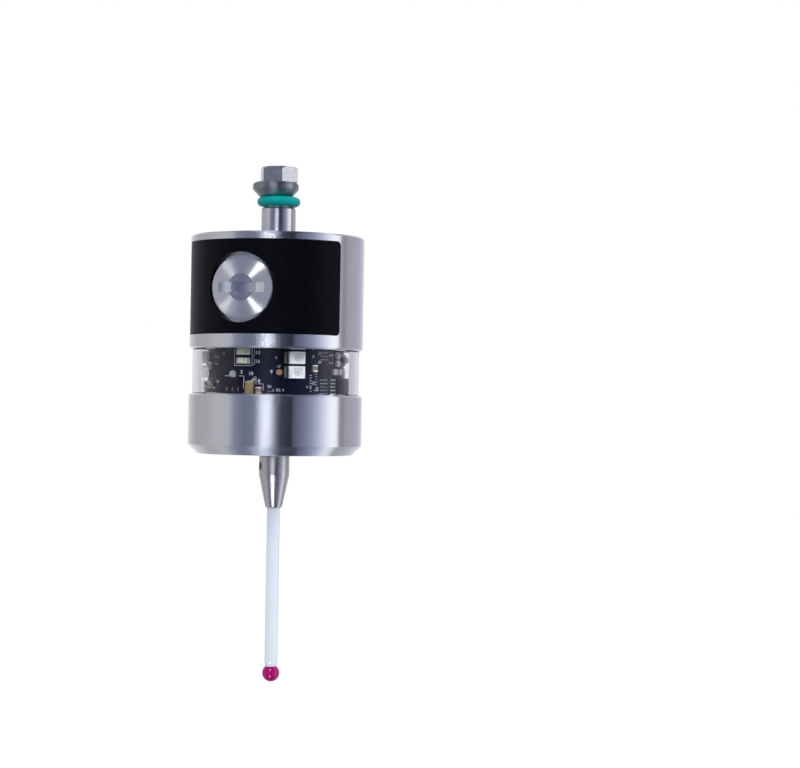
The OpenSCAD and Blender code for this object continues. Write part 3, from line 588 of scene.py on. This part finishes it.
# Chip capacitors and resistors.
# Fired ceramic blocks, most of them brown and some pale, with a tinned cap over each end, and
# flat black glazed resistors with tinned ends. All are soldered flat to the board.
capacitor_brown = surface(
    "fired ceramic", (0.22, 0.17, 0.12), 0.5, scale=2500, vary=0.12, relief=0.006 * MM
)
resistor_glaze = surface("black glaze", (0.015, 0.015, 0.018), 0.25, scale=2500, vary=0.2)
parts = [block((0.05, -0.6, -0.5), (0.76, 0.6, 0.5), capacitor_brown, 0.04)]
for side in (-1, 1):
    edges = sorted((side * 0.45, side * 0.8))
    parts.append(block((0.0, -0.65, edges[0]), (0.8, 0.65, edges[1]), tinned, 0.1))
capacitors = [
    (12.3, 0.83), (56.6, 0.45), (-36.5, 0.42), (-36.5, 0.75), (160, 0.3), (168, 0.3),
    (180, 0.3), (192, 0.3), (240, 0.3), (252, 0.3), (265, 0.3), (278, 0.3), (290, 0.35),
    (-52, 0.81),
]
set_on_board(
    join(parts, "capacitor"), [(a, height(s)) for a, s in capacitors],
    "chip_capacitors_soldered", "chip_capacitors",
)
pale_ceramic = surface(
    "pale ceramic", (0.42, 0.41, 0.44), 0.45, scale=2500, vary=0.25, relief=0.02 * MM
)
parts = [block((0.05, -0.6, -0.55), (0.9, 0.6, 0.55), pale_ceramic, 0.2, 3)]
for side in (-1, 1):
    edges = sorted((side * 0.45, side * 0.72))
    parts.append(block((0.0, -0.62, edges[0]), (0.8, 0.62, edges[1]), tinned, 0.1))
pale_capacitors = [(81, -27.3), (81, -29.1), (78, -31.0), (84, -31.0), (98, -28.2)]
set_on_board(
    join(parts, "pale_capacitor"), [(a, z * MM) for a, z in pale_capacitors],
    "chip_capacitors_pale", "chip_capacitors",
)
parts = [block((0.02, -0.34, -0.26), (0.33, 0.34, 0.26), resistor_glaze, 0.03)]
for side in (-1, 1):
    edges = sorted((side * 0.3, side * 0.5))
    parts.append(block((-0.02, edges[0], -0.27), (0.35, edges[1], 0.27), tinned, 0.06))
resistors = [
    (-28, 0.27), (-28, 0.39), (74, 0.22), (74, 0.35), (107, 0.24), (107, 0.36), (52, 0.76),
    (160, 0.47), (174, 0.45), (186, 0.45), (240, 0.47), (252, 0.47), (290, 0.53), (25, 0.82),
    (30, 0.82), (-60, 0.79),
]
set_on_board(
    join(parts, "resistor"), [(a, height(s)) for a, s in resistors],
    "chip_resistors_soldered", "chip_resistors",
)
dress(chip_resin, "processor_chip")

# White print, pads and test points.
# The board is printed in white epoxy with outlines, ticks and small plain numbers. Bare round
# test pads are copper, and the solder pads round the parts are tinned.
print_white = surface("white print", (0.62, 0.65, 0.76), 0.5, scale=3000, vary=0.1)
pad_copper = surface("copper pad", (0.75, 0.42, 0.2), 0.32, 1.0, scale=2500, vary=0.08)


def stroke(points, width=0.13, material=print_white, rise=0.015):
    """A printed line through (angle from the cap, z in mm) points, laid on the board's curve."""
    path = []
    for (a, z), (b, w) in zip(points, points[1:]):
        steps = max(1, int(abs(b - a) / 2))
        path += [(a + (b - a) * k / steps, z + (w - z) * k / steps) for k in range(steps)]
    path.append(points[-1])
    r = board_r + rise * MM
    corners = [
        Vector((r * cos(CAP + radians(a)), r * sin(CAP + radians(a)), z * MM)) for a, z in path
    ]
    start_afresh()
    bpy.ops.mesh.primitive_plane_add(size=0.001, location=corners[0])
    line = bpy.context.object
    bpy.ops.object.transform_apply(location=True, rotation=False, scale=False)
    bpy.ops.object.mode_set(mode="EDIT")
    bpy.ops.mesh.select_all(action="SELECT")
    bpy.ops.mesh.merge(type="CENTER")
    for here, there in zip(corners, corners[1:]):
        bpy.ops.mesh.extrude_region_move(TRANSFORM_OT_translate={"value": there - here})
    bpy.ops.object.mode_set(mode="OBJECT")
    bpy.ops.object.convert(target="CURVE")
    line.data.bevel_depth = width / 2 * MM
    line.data.bevel_resolution = 1
    line.data.use_fill_caps = True
    bpy.ops.object.convert(target="MESH")
    line.data.materials.clear()
    line.data.materials.append(material)
    return line


def digits(body, angle, z, size=1.1, turn=0):
    """Small printed digits, whose middle stands at an angle from the cap and a height in mm."""
    start_afresh()
    bpy.ops.object.text_add()
    label = bpy.context.object
    label.data.body = body
    label.data.size = size * MM
    label.data.extrude = 0.012 * MM
    label.data.resolution_u = 3
    label.data.align_x = "CENTER"
    label.data.align_y = "CENTER"
    bpy.ops.object.convert(target="MESH")
    label.data.transform(
        on_board(angle, z * MM, 0.02 * MM)
        @ Matrix.Rotation(radians(turn), 4, "X")
        @ Matrix(((0, 0, 1, 0), (1, 0, 0, 0), (0, 1, 0, 0), (0, 0, 0, 1)))
    )
    label.data.materials.append(print_white)
    return label


marks = [
    stroke([(-9.4, -25.6), (-9.4, -29.95), (6.2, -29.95), (6.2, -25.6)], 0.14),
    stroke([(7.4, -26.3), (8.2, -26.6), (8.2, -27.6), (7.4, -27.9)], 0.1),
    stroke([(7.4, -28.2), (8.2, -28.5), (8.2, -29.5), (7.4, -29.8)], 0.1),
    stroke([(-18.8, -32.3), (-14.4, -32.3)], 0.13),
    stroke([(-5.1, -32.3), (-0.6, -32.3), (-0.6, -35.1)], 0.13),
    stroke([(6.4, -33.05), (9.4, -33.05)], 0.42, tinned),
    stroke([(7.6, -32.5), (9.8, -32.5), (9.8, -34.2)], 0.12),
    stroke([(11.2, -34.0), (15.6, -34.0), (15.6, -35.5)], 0.12),
    digits("10", 10.8, -27.1, 1.15), digits("16", 10.8, -29.0, 1.15),
    digits("5", -2.6, -31.4, 1.15), digits("10", 5.4, -31.75, 1.15), digits("8", 12.2, -33.4, 1.1),
    digits("9", 22.0, -31.3, 1.2), digits("4", 25.5, -28.1, 1.0), digits("17", 27.6, -30.1, 0.9),
    digits("4", 56.2, -27.7, 1.1), digits("23", 62.5, -26.9, 0.9), digits("24", 62.5, -28.9, 0.9),
    digits("31", 57.0, -33.6, 0.95, 90), digits("32", 60.5, -35.0, 0.95, 90),
    digits("12", -28, -33.6, 0.9), digits("14", -33.5, -35.0, 0.9), digits("7", -20.5, -27.4, 0.9),
    digits("20", 20.5, -34.6, 0.9), digits("21", 27.5, -35.3, 0.9), digits("6", -44, -28.2, 0.9),
    digits("33", 115, -30.6, 1.0), digits("40", 150, -28.6, 1.0), digits("41", 180, -27.6, 1.0),
    digits("42", 203, -30.6, 1.0), digits("50", 265, -28.0, 1.0), digits("51", 292, -30.8, 1.0),
    digits("60", -60, -30.0, 0.9), digits("61", 100, -30.6, 0.9),
]
for k in range(7):
    marks.append(stroke([(19.0 + 1.7 * k, -35.62), (19.9 + 1.7 * k, -35.62)], 0.11))
    marks.append(stroke([(53.4, -31.9 - 0.6 * k), (55.2, -31.9 - 0.6 * k)], 0.11))
    marks.append(stroke([(57.6 + k % 3, -31.6 - 0.6 * k), (60.2, -31.6 - 0.6 * k)], 0.11))
for k in range(20):
    for low, steps in ((-32.9, 5), (-26.7, 3)):
        if k < 4 * steps:
            a, z = 63.5 + 2.1 * (k % 4), low - 0.78 * (k // 4)
            marks.append(stroke([(a, z), (a + 0.9, z)], 0.3, tinned))
for a in (180, 265):
    low, high, left, right = -34.5, -30.6, a - 14.5, a + 14.5
    marks.append(stroke([(left, low), (left, high), (right, high), (right, low)], 0.11))
for a, z in ((28.2, -31.35), (128, -28), (128, -31.2), (216, -31.0), (-72, -29)):
    pad = disc(0.68, -0.02, 0.03, pad_copper, 28)
    pad.data.transform(on_board(a, z * MM))
    marks.append(pad)
for k in (0, 4, 5, 6, 7, 8, 9):
    via = disc(0.21, -0.02, 0.025, tinned, 12)
    via.data.transform(on_board(-70 + 38.7 * k, (-26.2 - 0.93 * (k * 3 % 10)) * MM))
    marks.append(via)
board_print = join(marks, "board_print")
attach(board_print, "probe_body")

# Kinematic seat.
# Three hard balls under the arms of the carrier each rest between a pair of hard rollers, which
# lie in a ground steel ring: six points of contact bring the stylus back to one place.
seat_steel = turning_marks(surface(
    "ground seat steel", (0.66, 0.66, 0.68), 0.25, 1.0, scale=2200, vary=0.05, relief=0.003 * MM
))
dress(seat_steel, "seat_ring")
hard_metal = surface(
    "polished hard metal", (0.5, 0.5, 0.53), 0.1, 1.0, scale=3000, vary=0.05, rough_vary=0.03
)
dress(hard_metal, "seat_rollers", "seat_ball_a", "seat_ball_b", "seat_ball_c")

# Main spring.
# One coil of hard-drawn wire presses the carrier on to its seat. It is made here as three
# lengths end to end.
spring_wire = surface(
    "drawn spring wire", (0.55, 0.55, 0.57), 0.25, 1.0, scale=2400, vary=0.08, relief=0.003 * MM,
    stretch=(1, 1, 0.2),
)
spring_low, spring_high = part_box("main_spring")
wire_r = 0.45 * MM
coil_r = spring_high.x - wire_r
turns = 6
rise = (spring_high.z - spring_low.z - 2 * wire_r) / turns
for i in range(3):
    start_afresh()
    bpy.ops.mesh.primitive_circle_add(
        vertices=10, radius=wire_r, location=(coil_r, 0, spring_low.z + wire_r + rise * 2 * i),
        rotation=(radians(90), 0, 0),
    )
    length = bpy.context.object
    bpy.ops.object.transform_apply(location=True, rotation=True, scale=True)
    turn = length.modifiers.new("coil", "SCREW")
    turn.axis = "Z"
    turn.angle = 2 * pi
    turn.iterations = 2
    turn.screw_offset = rise
    turn.steps = turn.render_steps = 40
    turn.use_normal_calculate = True
    turn.use_merge_vertices = False
    bpy.ops.object.modifier_apply(modifier="coil")
    bpy.ops.object.mode_set(mode="EDIT")
    bpy.ops.mesh.select_all(action="DESELECT")
    bpy.ops.mesh.select_non_manifold()
    bpy.ops.mesh.edge_face_add()
    bpy.ops.mesh.select_all(action="SELECT")
    bpy.ops.mesh.normals_make_consistent(inside=False)
    bpy.ops.object.mode_set(mode="OBJECT")
    bpy.ops.object.shade_smooth_by_angle(angle=radians(50))
    length.name = length.data.name = "main_spring_length_%d" % (i + 1)
    length.data.materials.append(spring_wire)
    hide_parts("main_spring")
    low = spring_low.z + rise * 2 * i
    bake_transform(length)

# Diaphragm.
# A moulded black rubber skin that keeps coolant out. Its rim is clamped under the nose ring, its
# flat middle rides with the stylus and ends in a bead on the carrier's neck, and the cone between
# them flexes.


def lathe(name, profile, material, sides=96):
    """Turns a closed profile of (radius, height) points, in metres, once about Z."""
    start_afresh()
    bpy.ops.mesh.primitive_plane_add(size=0.001, location=(profile[0][0], 0, profile[0][1]))
    piece = bpy.context.object
    bpy.ops.object.transform_apply(location=True, rotation=False, scale=False)
    bpy.ops.object.mode_set(mode="EDIT")
    bpy.ops.mesh.select_all(action="SELECT")
    bpy.ops.mesh.merge(type="CENTER")
    here = profile[0]
    for there in profile[1:] + profile[:1]:
        bpy.ops.mesh.extrude_region_move(
            TRANSFORM_OT_translate={"value": (there[0] - here[0], 0, there[1] - here[1])}
        )
        here = there
    bpy.ops.mesh.select_all(action="SELECT")
    bpy.ops.mesh.spin(steps=sides, angle=2 * pi, center=(0, 0, 0), axis=(0, 0, 1))
    bpy.ops.mesh.select_all(action="SELECT")
    bpy.ops.mesh.remove_doubles(threshold=1e-7)
    bpy.ops.mesh.normals_make_consistent(inside=False)
    bpy.ops.object.mode_set(mode="OBJECT")
    bpy.ops.object.shade_smooth_by_angle(angle=radians(40))
    piece.name = piece.data.name = name
    piece.data.materials.append(material)
    return piece


skin_low, skin_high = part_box("diaphragm")
rim_r = skin_high.x
bead_r, bead_out_r = 3.55 * MM, 4.2 * MM
thick = 0.35 * MM
# The cone keeps outside the shield below it, so that the disc inside moves with the stylus
web = [
    (8.15 * MM, skin_low.z + 0.05 * MM), (7.43 * MM, skin_low.z + 0.3 * MM),
    (6.85 * MM, skin_high.z - thick),
]
(outer_r, web_low), (inner_r, web_high) = web[0], web[-1]
rim_top = skin_low.z + 0.4 * MM
rim = lathe("diaphragm_rim", [
    (rim_r, skin_low.z), (rim_r, rim_top), (outer_r, rim_top), (outer_r, skin_low.z),
], black_rubber)
bead_low = skin_high.z - 0.8 * MM
disc_low = skin_high.z - thick
bead = lathe("diaphragm_bead", [
    (bead_r, bead_low), (bead_r, skin_high.z), (inner_r, skin_high.z), (inner_r, disc_low),
    (bead_out_r, disc_low), (bead_out_r, bead_low),
], black_rubber)
for piece, body in ((rim, "probe_body"), (bead, "stylus")):
    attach(piece, body)
    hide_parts("diaphragm")
levels = [web_low + (web_high - web_low) * k / 3 for k in range(4)]


def web_r(z):
    """The radius at which the cone's underside reaches a level."""
    for (r0, z0), (r1, z1) in zip(web, web[1:]):
        if z <= z1:
            return r0 + (r1 - r0) * (z - z0) / (z1 - z0)
    return web[-1][0]


for i in range(3):
    steps = [levels[i] + (levels[i + 1] - levels[i]) * k / 4 for k in range(5)]
    under = [(web_r(z), z) for z in steps]
    over = [(r, z + thick) for r, z in reversed(under)]
    zone = lathe("diaphragm_zone_%d" % (i + 1), under + over, black_rubber)
    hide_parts("diaphragm")
    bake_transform(zone)

# Nose screws.
# Three small countersunk screws with a hexagon socket hold the nose ring.
screw_low, screw_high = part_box("nose_screws")
screw_r, socket_r, socket_deep = 0.78 * MM, 0.42 * MM, 0.6 * MM
screw_circle_r = 10.6 * MM
screws = []
for i in range(3):
    start_afresh()
    a = radians(30 + 120 * i)
    x, y = screw_circle_r * cos(a), screw_circle_r * sin(a)
    bpy.ops.mesh.primitive_cylinder_add(
        vertices=32, radius=screw_r, depth=screw_high.z - screw_low.z,
        location=(x, y, (screw_low.z + screw_high.z) / 2),
    )
    screw = bpy.context.object
    bpy.ops.object.transform_apply(location=True, rotation=True, scale=True)
    bpy.ops.mesh.primitive_cylinder_add(
        vertices=6, radius=socket_r, depth=2 * socket_deep, location=(x, y, screw_low.z),
    )
    socket = bpy.context.object
    bpy.ops.object.transform_apply(location=True, rotation=True, scale=True)
    screw = cut_away(screw, socket)
    edge = screw.modifiers.new("edge", "BEVEL")
    edge.width = 0.06 * MM
    edge.segments = 2
    edge.limit_method = "ANGLE"
    bpy.ops.object.modifier_apply(modifier="edge")
    bpy.ops.object.shade_smooth_by_angle(angle=radians(35))
    screw.data.materials.append(bright_steel)
    screws.append(screw)
screws = join(screws, "nose_screws_driven")
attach(screws, "probe_body")
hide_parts("nose_screws")

# Stylus.
# The holder is turned from a dull non-magnetic steel and has a cross hole for its tightening
# pin. The ceramic stem is ground alumina, and the ball is polished synthetic ruby.
holder_steel = turning_marks(surface(
    "dull holder steel", (0.6, 0.585, 0.57), 0.33, 1.0, scale=1800, vary=0.06, rough_vary=0.05,
    relief=0.006 * MM, Anisotropic=0.6, Anisotropic_Rotation=0.25,
))
dress(holder_steel, "stylus_holder")
alumina = surface(
    "ground alumina", (0.82, 0.88, 0.97), 0.22, scale=1500, vary=0.02, rough_vary=0.05,
    relief=0.002 * MM, Specular_IOR_Level=0.7, Subsurface_Weight=0.15, Subsurface_Scale=0.001,
)
dress(alumina, "stylus_stem")
ruby = surface(
    "polished ruby", (0.46, 0.001, 0.165), 0.04, scale=1200, vary=0.04, rough_vary=0.01,
    IOR=1.5, Specular_IOR_Level=0.35, Transmission_Weight=0.1, Coat_Weight=0.08,
    Coat_Roughness=0.02,
)
dress(ruby, "ruby_ball")

# Studio.
# A plain white floor well below the part and white beyond it, soft light all round, and the tall
# strips and flags of a product table, which show as upright bands in the turned steel.
VIEW = radians(25.5)
FLOOR_Z = -0.26
start_afresh()
bpy.ops.mesh.primitive_plane_add(size=6, location=(0, 0, FLOOR_Z))
floor = bpy.context.object
floor.name = "floor"
floor_white = surface("white floor", (0.9, 0.9, 0.9), 0.7, scale=20, vary=0.01)
tree = floor_white.node_tree
nodes, links = tree.nodes, tree.links
shader, out = nodes["Principled BSDF"], nodes["Material Output"]
path = nodes.new("ShaderNodeLightPath")
white = nodes.new("ShaderNodeEmission")
white.inputs["Strength"].default_value = 1.12
mix = nodes.new("ShaderNodeMixShader")
white_share = 0.85
feed(mix.inputs["Fac"], reckon(tree, "MULTIPLY", path.outputs["Is Camera Ray"], white_share))
links.new(shader.outputs["BSDF"], mix.inputs[1])
links.new(white.outputs["Emission"], mix.inputs[2])
links.new(mix.outputs["Shader"], out.inputs["Surface"])
floor.data.materials.append(floor_white)
floor.visible_glossy = False

world = bpy.data.worlds.new("studio")
bpy.context.scene.world = world
world.use_nodes = True
tree = world.node_tree
nodes, links = tree.nodes, tree.links
nodes.clear()
place = nodes.new("ShaderNodeTexCoord")
turned = nodes.new("ShaderNodeMapping")
turned.inputs["Rotation"].default_value = (0, 0, -VIEW)
split = nodes.new("ShaderNodeSeparateXYZ")
links.new(place.outputs["Generated"], turned.inputs["Vector"])
links.new(turned.outputs["Vector"], split.inputs["Vector"])
# A steep direction is drawn towards the camera's side before its angle is taken
steep_from, steep_gain, steep_pull = 0.35, 1.6, 0.7
toward_camera = reckon(tree, "MULTIPLY", split.outputs["Y"], -1)
steepness = reckon(tree, "SUBTRACT", reckon(tree, "ABSOLUTE", split.outputs["Z"]), steep_from)
raised = reckon(tree, "MULTIPLY", steepness, steep_gain)
raised.node.use_clamp = True
lifted = reckon(tree, "MULTIPLY_ADD", raised, steep_pull, toward_camera)
share = nodes.new("ShaderNodeMapRange")
share.inputs["From Min"].default_value = -pi
share.inputs["From Max"].default_value = pi
feed(share.inputs["Value"], reckon(tree, "ARCTAN2", split.outputs["X"], lifted))
bands = nodes.new("ShaderNodeValToRGB")
links.new(share.outputs["Result"], bands.inputs["Fac"])
# Angle to the right of the camera, and the colour seen there
studio = [
    (-180, (0.92, 0.92, 0.97)), (-130, (0.46, 0.46, 0.5)), (-100, (0.49, 0.49, 0.52)),
    (-88, (0.56, 0.56, 0.6)), (-64, (0.54, 0.55, 0.61)), (-55, (0.28, 0.3, 0.4)),
    (-42, (0.19, 0.215, 0.3)), (-29, (0.2, 0.215, 0.3)), (-20, (0.48, 0.52, 0.66)),
    (-14, (0.6, 0.65, 0.82)), (-8, (0.46, 0.51, 0.66)), (0, (0.17, 0.19, 0.27)),
    (7, (0.065, 0.07, 0.11)), (21.5, (0.03, 0.032, 0.055)), (23.5, (0.11, 0.115, 0.18)),
    (36, (0.2, 0.22, 0.33)), (50, (0.36, 0.39, 0.56)), (62, (0.66, 0.7, 0.9)),
    (75, (1.06, 1.1, 1.22)), (84, (1.22, 1.22, 1.27)), (90, (1.08, 1.08, 1.16)),
    (94, (0.42, 0.42, 0.48)), (100, (0.3, 0.3, 0.33)), (108, (0.43, 0.43, 0.47)),
    (140, (0.49, 0.5, 0.6)), (180, (0.92, 0.92, 0.97)),
]
ramp = bands.color_ramp
while len(ramp.elements) < len(studio):
    ramp.elements.new(0.5)
for stop, (angle, colour) in zip(ramp.elements, studio):
    stop.position = (angle + 180) / 360
    stop.color = (*colour, 1)
# Two strong lamps high and low on the left, which the faced cap draws out into fans


def heading(right, up):
    """The direction at two angles, in radians, to the right of -Y and above the level."""
    return Vector((sin(right) * cos(up), -cos(right) * cos(up), sin(up)))


lamp_core, lamp_edge = radians(7), radians(10)
lamp_strength = 17.0
glow = bands.outputs["Color"]
for right, up in ((-12, 44), (-14, -42)):
    toward = nodes.new("ShaderNodeVectorMath")
    toward.operation = "DOT_PRODUCT"
    toward.inputs[1].default_value = heading(radians(right), radians(up))
    links.new(turned.outputs["Vector"], toward.inputs[0])
    spot = nodes.new("ShaderNodeMapRange")
    spot.inputs["From Min"].default_value = cos(lamp_edge)
    spot.inputs["From Max"].default_value = cos(lamp_core)
    spot.inputs["To Max"].default_value = lamp_strength
    links.new(toward.outputs["Value"], spot.inputs["Value"])
    brighter = nodes.new("ShaderNodeVectorMath")
    brighter.operation = "ADD"
    links.new(glow, brighter.inputs[0])
    links.new(spot.outputs["Result"], brighter.inputs[1])
    glow = brighter.outputs["Vector"]
# Matt surfaces see an even sky, mirrors the bands and lamps, and the camera plain white
even_sky, plain_white = (0.52, 0.53, 0.58, 1), (1, 1, 1, 1)
path = nodes.new("ShaderNodeLightPath")
matt_bounces, mirror_bounces = path.outputs["Diffuse Depth"], path.outputs["Glossy Depth"]
straight = reckon(tree, "LESS_THAN", reckon(tree, "ADD", matt_bounces, mirror_bounces), 0.5)
matt = reckon(tree, "GREATER_THAN", matt_bounces, 0.5)
lit = mixed_colour(tree, matt, glow, even_sky)
sky = nodes.new("ShaderNodeBackground")
out = nodes.new("ShaderNodeOutputWorld")
feed(sky.inputs["Color"], mixed_colour(tree, straight, lit, plain_white))
links.new(sky.outputs["Background"], out.inputs["Surface"])
world.cycles.sampling_method = "NONE"


def softbox(name, right, up, size, watts, colour, distance=0.9):
    """An area light, at angles to the right of and above the camera, aimed at the body."""
    start_afresh()
    aim = Vector((0, 0, -0.03))
    spot = aim + distance * heading(VIEW + radians(right), radians(up))
    bpy.ops.object.light_add(type="AREA", location=spot)
    light = bpy.context.object
    light.name = name
    light.rotation_euler = (aim - spot).to_track_quat("-Z", "Y").to_euler()
    light.data.shape = "RECTANGLE"
    light.data.size, light.data.size_y = size
    light.data.energy = watts
    light.data.color = colour
    light.visible_glossy = False
    return light


softbox("upper softbox", -15, 42, (0.16, 0.3), 3.0, (0.95, 0.97, 1.0))
softbox("lower softbox", -15, -40, (0.16, 0.25), 1.4, (0.95, 0.97, 1.0))
softbox("right softbox", 70, 25, (0.3, 0.5), 2.2, (0.97, 0.98, 1.0))

# Camera.
# It stands level with the window, a little to the right of the battery cap.
camera = bpy.data.objects.new("camera", bpy.data.cameras.new("camera"))
bpy.context.collection.objects.link(camera)
camera_distance, camera_z = 0.48, -0.038
tilt_up, roll, pan_right = radians(0.555), radians(-0.96), radians(3.44)
camera.location = (camera_distance * sin(VIEW), -camera_distance * cos(VIEW), camera_z)
camera.rotation_euler = (radians(90) + tilt_up, roll, VIEW - pan_right)
camera.data.lens = 93.3
camera.data.sensor_width = 36
camera.data.clip_start = 0.01
bpy.context.scene.camera = camera
bpy.context.scene.view_settings.view_transform = "Standard"

start_afresh()
